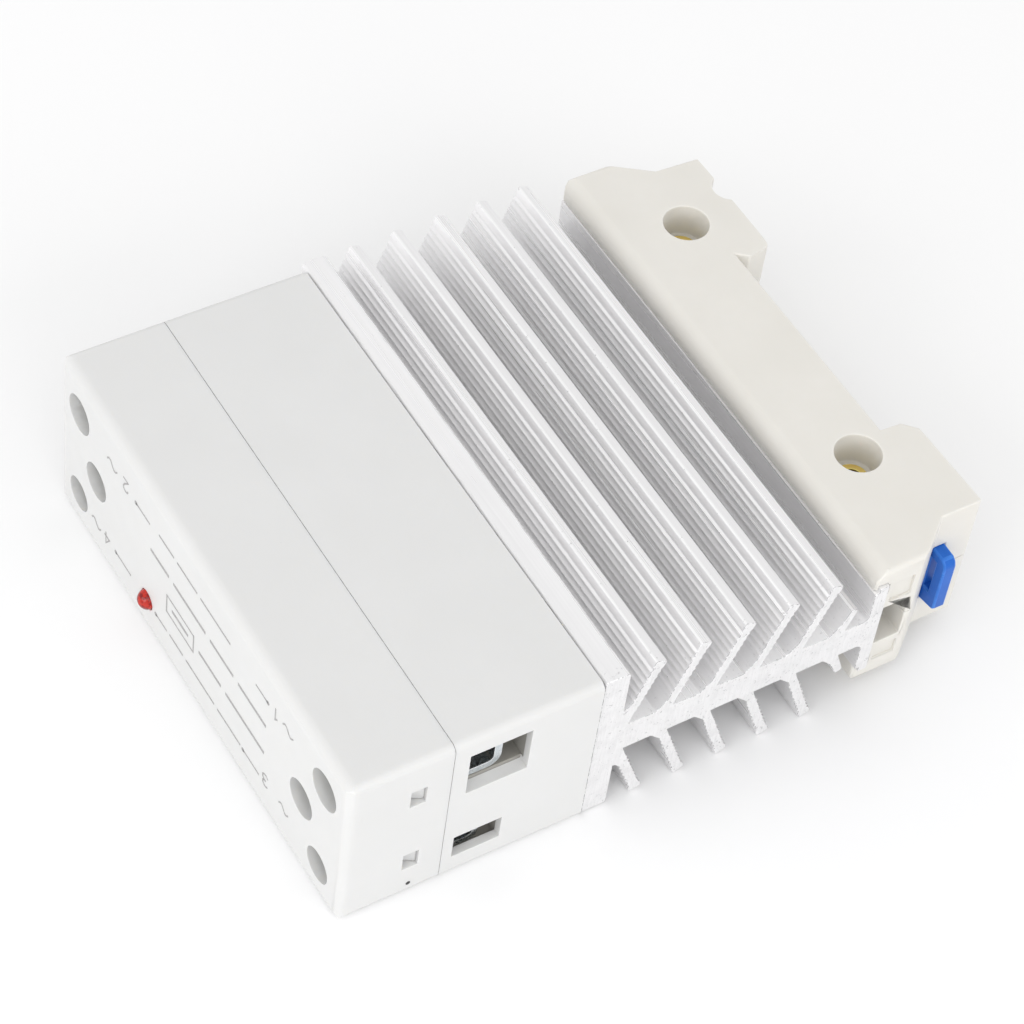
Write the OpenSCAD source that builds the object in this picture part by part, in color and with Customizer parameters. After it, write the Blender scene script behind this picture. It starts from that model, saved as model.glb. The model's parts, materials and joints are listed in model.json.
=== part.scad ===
// Solid state relay on an extruded heat sink, with a two-part clip for 35 mm rail.
// It lies on its side: +X runs from the relay's front face to the rail, Y runs along the
// extrusion, and +Z is up through the sides. All lengths are millimetres.
//
// Each piece is drawn in a local frame and moved by placed(). In that frame x is counted
// from the relay's front face, y from the near end of the heat sink, z from the middle.

/* [Relay body] */
// Width of the relay body across its sides
body_w = 28.5; // [28:0.1:30]
// Length of the relay body, from end to end
body_len = 79.1; // [78.5:0.1:79.5]
// Depth of the front cover
cover_depth = 15; // [14.8:0.1:15.2]
// Depth of the rear housing behind the cover
housing_depth = 21.6; // [21.4:0.1:22]
// Wall thickness of the cover
cover_wall = 1.5; // [1.4:0.1:1.6]
// Wall thickness of the rear housing
housing_wall = 1.6; // [1.4:0.1:1.7]
// Rounding of the front edges
front_round = 1.6; // [1:0.1:2.5]
// Rounding of the long side edges
side_round = 1.2; // [0.8:0.1:2]

/* [Terminals] */
// Distance from each end of the body to the terminal screws
term_inset = 5.6; // [5.5:0.1:5.8]
// Height of the output screws above the middle
output_z = 7.9; // [7.8:0.1:8]
// Height of the input screws, below the middle
input_z = -8.5; // [-8.6:0.1:-8.4]
// Distance from each end of the body to the module screws
fixing_inset = 10.75; // [10.6:0.05:10.9]
// Height of the module screws
fixing_z = -0.5; // [-0.6:0.1:-0.4]

/* [Heat sink] */
// Length of the extrusion
sink_len = 80; // [79.5:0.1:80.5]
// Width of the mounting plate
plate_w = 28; // [27.5:0.1:28]
// Thickness of the mounting plate
plate_t = 3.75; // [3.5:0.05:4]
// Thickness of the web between the fins
web_t = 5.2; // [5:0.1:5.4]
// Number of long fins on each side
fin_count = 5; // [5:1:5]
// Distance from fin to fin
fin_pitch = 6.78; // [6.7:0.02:6.8]
// Lean of the fins, in degrees
fin_lean = 21; // [20:0.5:22]
// Thickness of a fin between its ribs
fin_t = 1.4; // [1.2:0.1:1.5]
// Ribs on each face of a fin
rib_count = 8; // [6:1:8]

/* [Rail clip] */
// Width of the clip across its sides
clip_w = 23; // [22.5:0.1:23.4]
// Gap for the rail, from the fixed hook to the latch shoulder
rail_gap = 36.3; // [36:0.1:36.6]
// Travel of the latch
latch_travel = 3.2; // [2.5:0.1:3.3]

/* [Hidden] */
$fn = 64;
eps = 0.01;
fit = 0.05;

// Stack along x, from the front face to the rail
half_w = body_w / 2;
body_y0 = -0.35;
body_y1 = body_y0 + body_len;
body_mid_y = (body_y0 + body_y1) / 2;
split_x = cover_depth;
body_back_x = split_x + housing_depth;
base_plate_t = 0.7;
base_plate_x = body_back_x - base_plate_t;
pad_t = 0.2;
sink_x = body_back_x + pad_t + 0.1;
web_x0 = sink_x + plate_t;
first_root_x = web_x0 + 1.05;
end_plate_x = first_root_x + fin_pitch * fin_count + 3.85;
end_plate_t = 2.1;
end_plate_h = 8.9;
lip_h = 8;
lip_t = 0.65;
clip_x = end_plate_x + 0.15;
seat_x = clip_x + 14.6;
clip_end_x = clip_x + 20;
led_proud = 1.3;

// Overall box, used to put the origin under the middle of the part
clip_far_y = 80.65;
mid_x = (clip_end_x - led_proud) / 2;
mid_y = (clip_far_y + body_y0) / 2;
module placed() translate([-mid_x, -mid_y, half_w]) children();

// Screws and their holes
near_y = body_y0 + term_inset;
far_y = body_y1 - term_inset;
fixing_ys = [body_y0 + fixing_inset, body_y1 - fixing_inset];
output_hole_r = 3;
input_hole_r = 2.65;
fixing_hole_r = 2.9;

// Each terminal: [y of its screw, z of its screw, +1 at the near end or -1 at the far end]
TERMINALS = [
    [near_y, output_z, 1], [far_y, output_z, -1],
    [near_y, input_z, 1], [far_y, input_z, -1]];
function is_output(i) = i < 2;

// Sizes that differ between an output terminal and an input terminal
function hole_r(i) = is_output(i) ? output_hole_r : input_hole_r;
function head_r(i) = is_output(i) ? 2.8 : 2.3;
function head_t(i) = is_output(i) ? 2.6 : 1.8;
function head_x(i) = shelf_x0 - 0.05 - head_t(i);
function shank_r(i) = is_output(i) ? 1.95 : 1.45;
function strip_x(i) = is_output(i) ? 16.75 : 16.45;
function strip_t(i) = is_output(i) ? 0.9 : 0.8;
function strip_half_w(i) = is_output(i) ? 2.1 : 1.2;
function cage_sheet(i) = is_output(i) ? 1.2 : 0.9;
function cage_top_t(i) = cage_sheet(i) + 0.1;
function cage_half_w(i) = is_output(i) ? 3.8 : 2.6;
function cage_x1(i) = is_output(i) ? 23.4 : 21.5;
function cage_round(i) = is_output(i) ? 2 : 1.6;
cage_x0 = 15.25;
cage_half_len = 3.85;

// The shelf under each screw's head; a closed cage comes up to it from behind
shelf_x0 = 9.15;
shelf_x1 = 11.65;

// Wire windows in the ends: [low x, high x, low z, high z]
function window(i) = is_output(i) ? [17.4, 26.4, 3.2, 11.1] : [16.65, 23.75, -10.4, -6.1];
window_wall = 1.2;
function well_half_w(i) = cage_half_w(i) + 0.15;
function well_end(i) = window(i)[1] + 0.1;

// Board inside the cover
board_x = 12.4;
board_t = 1.6;
board_back_x = board_x + board_t;
substrate_t = 1;
substrate_x = base_plate_x - substrate_t;
led_y = 52.7;
led_z = -8.4;
led_r = 1.5;

// Clip outline, as seen from above
rail_far_y = 57.76;
rail_near_y = rail_far_y - rail_gap;
clip_near_y = 0.45;
clip_half_w = clip_w / 2;
rivets = [[clip_x + 11.55, 65.8], [clip_x + 9.5, 19.3]];
rivet_seat_z = 6.1;
latch_x = seat_x - 1.1;
latch_t = 2;
nose_x = seat_x + 1.15;
shoulder_y = 5.05;

// ---------- helpers ----------

// Extrudes a 2D shape drawn in (x, z) from y0 to y1
module along_y(y0, y1) translate([0, y1, 0]) rotate([90, 0, 0]) linear_extrude(y1 - y0) children();

// Extrudes a 2D shape drawn in (y, z) from x0 to x1
module along_x(x0, x1) translate([x0, 0, 0]) rotate([90, 0, 90]) linear_extrude(x1 - x0) children();

// A box given by its two opposite corners
module block(low, high) translate(low) cube(high - low);

// A round bar along x
module rod_x(x0, x1, y, z, r) translate([x0, y, z]) rotate([0, 90, 0]) cylinder(h = x1 - x0, r = r);

// The sliver outside a rounded corner; d points from the corner into the shape
module corner_sliver(corner, r, d) {
    translate(corner) difference() {
        translate([d[0] > 0 ? -1 : -r, d[1] > 0 ? -1 : -r]) square(r + 1);
        translate([d[0] * r, d[1] * r]) circle(r);
    }
}

// A rectangle from low to high with the corners listed in ds rounded
module soft_rectangle(low, high, r, ds) {
    difference() {
        translate(low) square(high - low);
        for (d = ds) corner_sliver([d[0] > 0 ? low[0] : high[0], d[1] > 0 ? low[1] : high[1]], r, d);
    }
}

ALL_CORNERS = [[1, 1], [1, -1], [-1, 1], [-1, -1]];
LOW_X_CORNERS = [[1, 1], [1, -1]];

// ---------- relay body ----------

// Outer form of the relay body between two x positions; the front edges are rounded
module body_form(x0, x1, rounded_front) {
    intersection() {
        along_x(x0, x1)
            soft_rectangle([body_y0, -half_w], [body_y1, half_w], side_round, ALL_CORNERS);
        translate([0, 0, -half_w]) linear_extrude(body_w)
            soft_rectangle([x0, body_y0], [x1, body_y1], front_round, rounded_front ? LOW_X_CORNERS : []);
        along_y(body_y0, body_y1)
            soft_rectangle([x0, -half_w], [x1, half_w], front_round, rounded_front ? LOW_X_CORNERS : []);
    }
}

snap_x0 = 9.2;
snap_x1 = 11.5;
snap_low = 5.3;
snap_high = 8.5;

module front_cover() placed() color("whitesmoke") {
    guide_wall = 1.1;
    inner_y0 = body_y0 + cover_wall;
    inner_y1 = body_y1 - cover_wall;
    inner_z = half_w - cover_wall;
    fixing_guide_end = split_x - 0.05;
    difference() {
        union() {
            difference() {
                body_form(0, split_x, true);
                block([cover_wall, inner_y0, -inner_z], [split_x + 1, inner_y1, inner_z]);
            }
            // Tubes that guide the screwdriver, each with a lip that keeps its screw in
            for (i = [0:3]) let (t = TERMINALS[i])
                rod_x(1, head_x(i) - 0.2, t[0], t[1], hole_r(i) + guide_wall);
            for (y = fixing_ys) rod_x(1, fixing_guide_end, y, fixing_z, fixing_hole_r + 0.8);
        }
        for (i = [0:3]) let (t = TERMINALS[i]) {
            rod_x(-1, head_x(i) - 1, t[0], t[1], hole_r(i));
            rod_x(-1, head_x(i) + 1, t[0], t[1], hole_r(i) - 0.5);
        }
        for (y = fixing_ys) rod_x(-1, split_x + 1, y, fixing_z, fixing_hole_r);
        rod_x(-1, cover_wall + 1, led_y, led_z, led_r + 0.1);
        // Windows in both ends for the housing's catches
        for (s = [-1, 1]) for (y = [body_y0 - 1, inner_y1 - 0.8])
            block([snap_x0, y, min(s * snap_low, s * snap_high)],
                  [snap_x1, y + 1 + cover_wall + 0.8, max(s * snap_low, s * snap_high)]);
    }
}

block_y = 10.9;
block_x1 = 28.5;
fixing_ledge_x = 29.4;

tower_wall = 0.6;
cover_gap = 0.15;
tower_top_z = half_w - cover_wall - cover_gap;

// One end of the housing, drawn at the near end: a block with a well for each clamp,
// and a tower over each well that carries the head of its screw
module housing_end() {
    difference() {
        union() {
            block([split_x, body_y0 + 0.5, -half_w + 0.5], [block_x1, block_y, half_w - 0.5]);
            rod_x(split_x, fixing_ledge_x + 1.6, fixing_ys[0], fixing_z, fixing_hole_r + 1.2);
            for (i = [0, 2]) let (z = TERMINALS[i][1], w = well_half_w(i) + tower_wall)
                block([shelf_x0, body_y0 + cover_wall + cover_gap, max(z - w, -tower_top_z)],
                      [split_x + 1, block_y, min(z + w, tower_top_z)]);
        }
        for (i = [0, 2]) let (z = TERMINALS[i][1]) {
            w = well_half_w(i);
            s = strip_half_w(i) + 0.15;
            block([shelf_x1, near_y - cage_half_len - 0.1, z - w],
                  [well_end(i), near_y + cage_half_len + 0.1, z + w]);
            block([strip_x(i) - 0.1, near_y, z - s], [strip_x(i) + strip_t(i) + 0.1, block_y + 1, z + s]);
            rod_x(shelf_x0 - 1, shelf_x1 + 1, near_y, z, shank_r(i) + 0.3);
        }
        rod_x(split_x - 1, fixing_ledge_x, fixing_ys[0], fixing_z, fixing_hole_r + 0.1);
        rod_x(split_x - 1, block_x1 + 5, fixing_ys[0], fixing_z, 2.15);
    }
}

// A catch on the front of a tower that sits in the cover's window
module snap_catch(s) {
    face_y = body_y0 + cover_wall + cover_gap;
    z0 = s > 0 ? snap_low + 0.1 : -snap_high + 0.1;
    translate([0, 0, z0]) linear_extrude(snap_high - snap_low - 0.2) polygon([
        [snap_x0 + 0.2, face_y + 0.3], [snap_x0 + 0.2, face_y],
        [snap_x1 - 0.1, face_y - 1.1], [snap_x1 - 0.1, face_y + 0.3]]);
}

module mirrored_ends() {
    children();
    translate([0, 2 * body_mid_y, 0]) mirror([0, 1, 0]) children();
}

module rear_housing() placed() color("white") {
    inner_y0 = body_y0 + housing_wall;
    inner_y1 = body_y1 - housing_wall;
    inner_z = half_w - housing_wall;
    difference() {
        union() {
            difference() {
                body_form(split_x + 0.05, body_back_x, false);
                block([split_x - 1, inner_y0, -inner_z], [body_back_x + 1, inner_y1, inner_z]);
            }
            mirrored_ends() housing_end();
            mirrored_ends() for (s = [-1, 1]) snap_catch(s);
        }
        // Wire windows, and the wells behind them
        mirrored_ends() for (i = [0, 2]) let (w = window(i), z = TERMINALS[i][1], half = well_half_w(i)) {
            block([w[0], body_y0 - 1, w[2]], [w[1], near_y - cage_half_len, w[3]]);
            block([split_x + 0.6, body_y0 + window_wall, z - half], [well_end(i), near_y, z + half]);
        }
    }
}

// The plate closes the back of the housing and lies flush inside its rim
module module_base_plate() placed() color("lightgray") {
    edge = housing_wall + fit;
    difference() {
        along_x(base_plate_x, body_back_x)
            soft_rectangle([body_y0 + edge, -half_w + edge], [body_y1 - edge, half_w - edge], 1, ALL_CORNERS);
        for (y = fixing_ys) rod_x(base_plate_x - 1, sink_x, y, fixing_z, 2.2);
    }
}

module thermal_pad() placed() color("dimgray") {
    x0 = body_back_x + 0.03;
    difference() {
        block([x0, body_y0 + 1, -half_w + 1], [x0 + pad_t, body_y1 - 0.6, half_w - 1]);
        for (y = fixing_ys) rod_x(x0 - 1, x0 + 1, y, fixing_z, 2.3);
    }
}

// ---------- heat sink ----------

web_half = web_t / 2;
fin_len = 11.8;
tip_len = 1.5;

// A point on a fin: s runs along it from the web, n runs out of its rail-side face
function fin_point(root_x, s, n) = [
    root_x + s * sin(fin_lean) + n * cos(fin_lean),
    web_half + s * cos(fin_lean) - n * sin(fin_lean)];

// One rib as three points at distance s, on the face at n, standing out by h
function rib(root_x, s, n, h, dir) = [
    fin_point(root_x, s - dir * 0.32, n), fin_point(root_x, s, n + h), fin_point(root_x, s + dir * 0.32, n)];

rib_first = 2.6;
rib_pitch = 1.03;
rib_h = 0.22;

// A fin above the web: ribs on both faces and a thicker tip. The first fin has a foot that
// joins its back to the plate, and covers the place of its first two back ribs.
module fin(root_x, len, ribs, has_foot) {
    back = -fin_t;
    lowest = has_foot ? 2 : 0;
    foot = [fin_point(root_x, 4.2, back), [web_x0 + 0.35, 6], [web_x0 - 0.5, 5.9],
            [web_x0 - 0.5, web_half - eps]];
    plain = [fin_point(root_x, 1.2, back), [root_x - 2.5, web_half - eps]];
    polygon(concat(
        [fin_point(root_x, -1, 0)],
        [for (k = [0:1:ribs - 1]) each rib(root_x, rib_first + k * rib_pitch, 0, rib_h, 1)],
        [fin_point(root_x, len - tip_len, 0), fin_point(root_x, len - tip_len + 0.4, 0.22),
         fin_point(root_x, len - 0.2, 0.22), fin_point(root_x, len, 0.02),
         fin_point(root_x, len, back - 0.02), fin_point(root_x, len - 0.2, back - 0.22),
         fin_point(root_x, len - tip_len + 0.4, back - 0.22), fin_point(root_x, len - tip_len, back)],
        [for (k = [ribs - 1:-1:lowest]) each rib(root_x, rib_first + k * rib_pitch, back, -rib_h, -1)],
        has_foot ? foot : plain,
        [[root_x - 2.5, web_half - 1]]));
}

// Upper half of the extrusion's section; the lower half is its mirror image
module sink_half_section() {
    soft_rectangle([sink_x, -1], [web_x0, plate_w / 2], 0.5, [[1, -1], [-1, -1]]);
    translate([web_x0 - 1, -1]) square([end_plate_x - web_x0 + 2, web_half + 1]);
    for (k = [0:fin_count - 1]) fin(first_root_x + k * fin_pitch, fin_len, rib_count, k == 0);
    // A short fin stands beside the clip
    short_x = first_root_x + fin_count * fin_pitch;
    polygon([fin_point(short_x, -1, 0), fin_point(short_x, 3.9, 0), fin_point(short_x, 4.1, -0.2),
             fin_point(short_x, 4.1, -1), fin_point(short_x, 3.9, -1.2), fin_point(short_x, 1.2, -fin_t),
             [short_x - 2.5, web_half - eps], [short_x - 2.5, web_half - 1]]);
    // End plate that the clip holds, with a fillet at its foot
    translate([end_plate_x, -1]) square([lip_t, lip_h + 1]);
    translate([end_plate_x + lip_t, -1]) square([end_plate_t - lip_t, end_plate_h + 1]);
    translate([end_plate_x, web_half]) difference() {
        translate([-1.1, -0.1]) square([1.2, 1.2]);
        translate([-1.1, 1.1]) circle(1.1);
    }
}

module heat_sink() placed() color("silver") {
    difference() {
        along_y(0, sink_len) union() {
            sink_half_section();
            mirror([0, 1]) sink_half_section();
        }
        for (y = fixing_ys) rod_x(sink_x - 1, sink_x + 5.5, y, fixing_z, 2);
    }
}

// ---------- inside the relay ----------

module ceramic_substrate() placed() color("ivory")
    block([substrate_x, 16, -11.4], [substrate_x + substrate_t, 62.3, 11.4]);

die_ys = [28, 42.3];
module thyristor_dies() placed() color("darkslategray")
    for (y = die_ys) block([substrate_x - 0.5, y, 3.4], [substrate_x, y + 8, 11]);

pin_ys = [31, 35, 43.3, 47.3];
module gate_pins() placed() color("goldenrod")
    for (y = pin_ys) rod_x(board_back_x, substrate_x, y, -7.4, 0.4);

module control_board() placed() color("darkgreen") {
    difference() {
        block([board_x, 12, -12], [board_back_x, 66.3, 12]);
        for (y = fixing_ys) rod_x(board_x - 1, board_back_x + 1, y, fixing_z, fixing_hole_r + 1.5);
    }
}

// A moulded package with a row of legs on each long side
module dual_row_package(y, z, len, wide, tall, legs) {
    x = board_back_x + 0.5;
    block([x, y - len / 2, z - wide / 2], [x + tall, y + len / 2, z + wide / 2]);
    for (k = [0:legs - 1]) for (s = [-1, 1]) {
        leg_y = y + (k - (legs - 1) / 2) * 2.54;
        leg_z = z + s * (wide / 2 + 0.2);
        block([board_back_x, leg_y - 0.3, leg_z - 0.3], [board_back_x + 2, leg_y + 0.3, leg_z + 0.3]);
    }
}

module triac_driver() placed() color("black") dual_row_package(38, 2.2, 8.6, 6.4, 3.3, 3);
module input_rectifier() placed() color("black") dual_row_package(21.5, -8, 8.2, 6.2, 2.6, 2);

module snubber_capacitor() placed() color("gold") {
    block([board_back_x + 0.4, 46.5, 4.4], [board_back_x + 9.4, 59.5, 10.4]);
    for (y = [48, 58]) rod_x(board_back_x, board_back_x + 1, y, 7.4, 0.35);
}

module smoothing_capacitor() placed() color("midnightblue") {
    rod_x(board_back_x + 0.3, board_back_x + 9.3, 27, 6.5, 3.1);
    for (s = [-1, 1]) rod_x(board_back_x, board_back_x + 1, 27 + s * 1.25, 6.5, 0.3);
}

module varistor() placed() color("steelblue") {
    translate([board_back_x + 6.2, 54, -5]) rotate([90, 0, 0]) cylinder(h = 4, r = 5, center = true);
    for (s = [-1, 1]) rod_x(board_back_x, board_back_x + 3, 54, -5 + s * 2.5, 0.35);
}

// Axial resistors lying along y, each with two bent legs
module resistors() placed() color("tan") {
    x = board_back_x;
    for (p = [[21.5, -2.6], [21.5, 0.6], [38, -4.4]]) {
        translate([x + 1.8, p[0], p[1]]) rotate([90, 0, 0]) cylinder(h = 6, r = 1.1, center = true);
        for (s = [-1, 1]) {
            leg_y = p[0] + s * 4;
            block([x, leg_y - 0.25, p[1] - 0.25], [x + 2.05, leg_y + 0.25, p[1] + 0.25]);
            block([x + 1.55, leg_y - 0.25 - (s > 0 ? 1.2 : 0), p[1] - 0.25],
                  [x + 2.05, leg_y + 0.25 + (s < 0 ? 1.2 : 0), p[1] + 0.25]);
        }
    }
}

module indicator_led() placed() color("red") {
    dome_x = led_r - led_proud;
    translate([dome_x, led_y, led_z]) rotate([0, -90, 0]) rotate_extrude() intersection() {
        circle(led_r);
        square(led_r);
    }
    rod_x(dome_x - eps, cover_wall + 0.9, led_y, led_z, led_r);
    rod_x(cover_wall + 0.1, cover_wall + 0.9, led_y, led_z, 1.9);
}

module led_leads() placed() color("gainsboro")
    for (s = [-1, 1]) rod_x(cover_wall + 0.9, board_x, led_y, led_z + s * 1.27 / 2, 0.25);

// ---------- terminals ----------

// Draws a child, made for the near end, at terminal i's own end
module at_end(i) {
    if (TERMINALS[i][2] > 0) children();
    else translate([0, 2 * body_mid_y, 0]) mirror([0, 1, 0]) children();
}

// An output busbar runs from its clamp to the substrate
module output_busbar(i) placed() color("peru") {
    z = TERMINALS[i][1];
    w = strip_half_w(i);
    x = strip_x(i);
    leg_y = 13.2;
    at_end(i) {
        block([x, near_y - cage_half_len + 0.6, z - w], [x + strip_t(i), leg_y + 1.2, z + w]);
        block([x, leg_y, z - w], [substrate_x, leg_y + 1.2, z + w]);
        difference() {
            block([substrate_x - 1.2, leg_y, z - w], [substrate_x, leg_y + 10, z + w]);
            rod_x(substrate_x - 2, substrate_x + 1, leg_y + 7.5, z, 1);
        }
    }
}

// An input strip runs from its clamp to the board
module input_strip(i) placed() color("peru") {
    z = TERMINALS[i][1];
    w = strip_half_w(i);
    x = strip_x(i);
    leg_y = 12.4;
    at_end(i) {
        block([x, near_y - cage_half_len + 0.6, z - w], [x + strip_t(i), leg_y + 0.8, z + w]);
        block([board_back_x, leg_y, z - w], [x + strip_t(i), leg_y + 0.8, z + w]);
    }
}

// A clamp cage: a rounded tube of sheet that closes on the busbar inside it
module clamp_cage(i) placed() color("lightsteelblue") {
    y = TERMINALS[i][0];
    z = TERMINALS[i][1];
    w = cage_half_w(i);
    t = cage_sheet(i);
    difference() {
        along_y(y - cage_half_len, y + cage_half_len) difference() {
            soft_rectangle([cage_x0, z - w], [cage_x1(i), z + w], cage_round(i), ALL_CORNERS);
            soft_rectangle([cage_x0 + cage_top_t(i), z - w + t], [cage_x1(i) - t, z + w - t],
                           cage_round(i) - t, ALL_CORNERS);
        }
        rod_x(cage_x0 - 1, cage_x0 + cage_top_t(i) + 0.5, y, z, shank_r(i) + fit);
    }
}

// A terminal screw turns in place and draws its cage up or down
module terminal_screw(i) placed() color("gainsboro") {
    y = TERMINALS[i][0];
    z = TERMINALS[i][1];
    x = head_x(i);
    difference() {
        union() {
            rod_x(x, x + head_t(i), y, z, head_r(i));
            rod_x(x + head_t(i) - eps, strip_x(i) - 0.1, y, z, shank_r(i));
        }
        // Cross and slot recess
        for (a = [0, 90]) translate([x - 1, y, z]) rotate([a, 0, 0])
            block([0, -head_r(i) * 0.55, -0.35], [2.2, head_r(i) * 0.55, 0.35]);
        translate([x - 1, y, z]) block([0, -head_r(i) - 1, -0.3], [1.7, head_r(i) + 1, 0.3]);
    }
}

// Screws that hold the relay to the heat sink
module module_screws() placed() color("gainsboro") {
    head = fixing_ledge_x - 2.2;
    for (y = fixing_ys) difference() {
        union() {
            rod_x(head, fixing_ledge_x, y, fixing_z, 2.75);
            rod_x(fixing_ledge_x - eps, sink_x + 5, y, fixing_z, 1.95);
        }
        for (a = [0, 90]) translate([head - 1, y, fixing_z]) rotate([a, 0, 0])
            block([0, -1.6, -0.35], [2.2, 1.6, 0.35]);
    }
}

// ---------- rail clip ----------

// Outline of the clip seen along z
module clip_outline() {
    x = clip_x;
    difference() {
        polygon([
            [x, clip_near_y], [x, clip_far_y], [x + 7.1, clip_far_y], [x + 13.1, 76.5],
            [clip_end_x - 0.1, 76.1], [clip_end_x, 71.6], [clip_end_x, 56.8],
            [seat_x + 1.65, 56.35], [seat_x, rail_far_y], [seat_x, rail_near_y],
            [seat_x + 3.2, rail_near_y - 0.2], [clip_end_x - 0.3, rail_near_y - 2.1],
            [clip_end_x, shoulder_y], [x + 13.4, shoulder_y], [x + 8.8, 1.3], [x + 7.5, clip_near_y]]);
        // Groove in the rail side
        translate([clip_end_x + 1.2, 69.35]) circle(2.55);
        corner_sliver([x, clip_near_y], 0.6, [1, 1]);
        corner_sliver([x, clip_far_y], 1.2, [1, -1]);
        corner_sliver([clip_end_x, shoulder_y], 0.4, [-1, 1]);
        corner_sliver([clip_end_x, 56.8], 1, [-1, 1]);
    }
}

// Outer form of a half, softened along its sink side and at both ends
module clip_half_form(edge_round) {
    intersection() {
        translate([0, 0, fit]) linear_extrude(clip_half_w - fit) clip_outline();
        along_y(-1, clip_far_y + 1)
            soft_rectangle([clip_x, -5], [clip_end_x + 1, clip_half_w], edge_round, [[1, -1]]);
        along_x(clip_x - 1, clip_end_x + 1)
            soft_rectangle([clip_near_y, -5], [clip_far_y, clip_half_w], 0.8, [[1, -1], [-1, -1]]);
    }
}

core_count = 4;
core_y0 = 25.5;
core_pitch = 8.3;
pocket_x1 = clip_x + 6.6;
post_y0 = 10.9;
post_y1 = 12.2;
// Heights of the latch's bar and of the pocket, in the upper half and in the lower
bar_high = 4.75;
bar_low = 5.8;
pocket_high = 3.2;
pocket_low = 4.3;
nose_half = 4.2;

// One half of the clip, drawn above the middle
module clip_half(bar_z, pocket_z, edge_round) {
    groove_x1 = end_plate_x + end_plate_t + 0.08;
    difference() {
        clip_half_form(edge_round);
        // Groove that holds the heat sink's end plate, behind a thin lip
        block([clip_x - 1, -1, -1], [groove_x1, clip_far_y + 1, lip_h + 0.1]);
        block([end_plate_x + lip_t - 0.05, -1, -1], [groove_x1, clip_far_y + 1, end_plate_h + 0.08]);
        // Pocket open at the near end, and two hollows inside
        block([groove_x1 - eps, -1, -1], [pocket_x1, 13.5, pocket_z]);
        // Gap beside the end plate, and a shallow panel above the pocket
        block([groove_x1 - eps, -1, 6.4], [groove_x1 + 0.4, 8, 8.5]);
        block([groove_x1 + 0.9, -1, pocket_z + 1.1], [pocket_x1, clip_near_y + 0.4, 8.3]);
        // Hollows with ribs between them
        for (k = [0:core_count - 1]) let (y = core_y0 + k * core_pitch)
            block([clip_x + 4.4, y, -1], [seat_x - 2.2, y + core_pitch - 1.2, 8.8]);
        block([clip_x + 4.4, 70.5, -1], [clip_x + 8, 77.5, 8.8]);
        for (p = rivets) translate([p[0], p[1], -1]) {
            cylinder(h = clip_w, r = 1.85);
            translate([0, 0, rivet_seat_z + 1]) cylinder(h = clip_w, r = 3.3);
        }
        // Slot for the latch: the bar, then its nose
        difference() {
            block([latch_x - 0.1, -1, -1], [latch_x + latch_t + 0.1, rail_near_y, bar_z + 0.1]);
            block([latch_x - 1, post_y0, -2], [latch_x + latch_t + 1, post_y1, 1.3]);
        }
        block([latch_x + 1, 12.6, -1], [nose_x + 2.05, rail_near_y + 1, nose_half + 0.1]);
    }
}

module clip_upper_half() placed() color("oldlace") clip_half(bar_high, pocket_high, 2.4);
module clip_lower_half() placed() color("oldlace") mirror([0, 0, 1]) clip_half(bar_low, pocket_low, 1.2);

// Hollow brass rivets with a flange at each end
module clip_rivets() placed() color("goldenrod")
    for (p = rivets) translate([p[0], p[1], 0]) difference() {
        union() {
            cylinder(h = 2 * rivet_seat_z + 0.7, r = 1.8, center = true);
            for (s = [-1, 1]) translate([0, 0, s * (rivet_seat_z + 0.22)])
                cylinder(h = 0.4, r = 2.35, center = true);
        }
        cylinder(h = 20, r = 1.4, center = true);
    }

// Window of the latch, which holds the spring between its far end and the post
pressed_spring_len = 3.6;
window_y0 = post_y0 - 0.05;
window_y1 = post_y1 + pressed_spring_len + latch_travel;

// The latch: a bar with a pull tab at the near end and a bevelled nose at the rail
module rail_latch() placed() color("royalblue") {
    tip_y = 2;
    bar_end = rail_near_y - 0.15;
    nose_top = nose_x + 1.9;
    difference() {
        union() {
            along_x(latch_x, latch_x + latch_t) polygon([
                [tip_y, -4.9], [tip_y + 0.3, -5.3], [shoulder_y - 0.1, -bar_low], [bar_end, -bar_low],
                [bar_end, bar_high], [shoulder_y - 0.1, bar_high], [tip_y + 0.9, bar_high - 0.1],
                [tip_y + 0.25, bar_high - 0.7], [tip_y, bar_high - 1.4]]);
            translate([0, 0, -nose_half]) linear_extrude(2 * nose_half) polygon([
                [latch_x + 1, 16], [latch_x + 1, bar_end], [nose_x, bar_end], [nose_x, rail_near_y + 2.1],
                [nose_x + 0.5, rail_near_y + 2.1], [nose_top, rail_near_y + 0.6], [nose_top, 16]]);
        }
        // Window for the spring, and a slot for a screwdriver's blade
        block([latch_x - 1, window_y0, -1.9], [latch_x + latch_t + eps, window_y1, 1.9]);
        block([latch_x - 1, 3.9, -3], [latch_x + latch_t + 1, 5.1, 3]);
    }
}

// Round wire swept along a helix, as rings of points
spring_r = 0.75;
spring_wire_r = 0.2;
spring_turns = 6;
spring_sides = 8;
spring_steps = 20 * spring_turns;
spring_y0 = post_y1 + spring_wire_r + 0.02;
spring_len = window_y1 - spring_wire_r - 0.02 - spring_y0;
function helix_point(k, a) =
    let (t = 360 * spring_turns * k / spring_steps, r = spring_r + spring_wire_r * cos(a))
    [r * cos(t), spring_len * k / spring_steps + spring_wire_r * sin(a), r * sin(t)];

module latch_spring() placed() color("silver") {
    n = spring_sides;
    points = [for (k = [0:spring_steps]) for (j = [0:n - 1]) helix_point(k, 360 * j / n)];
    sides = [for (k = [0:spring_steps - 1]) for (j = [0:n - 1])
        let (a = k * n + j, b = k * n + (j + 1) % n) [a, b, b + n, a + n]];
    caps = [[for (j = [n - 1:-1:0]) j], [for (j = [0:n - 1]) spring_steps * n + j]];
    translate([latch_x + latch_t / 2, spring_y0, 0]) polyhedron(points = points, faces = concat(sides, caps));
}

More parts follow.
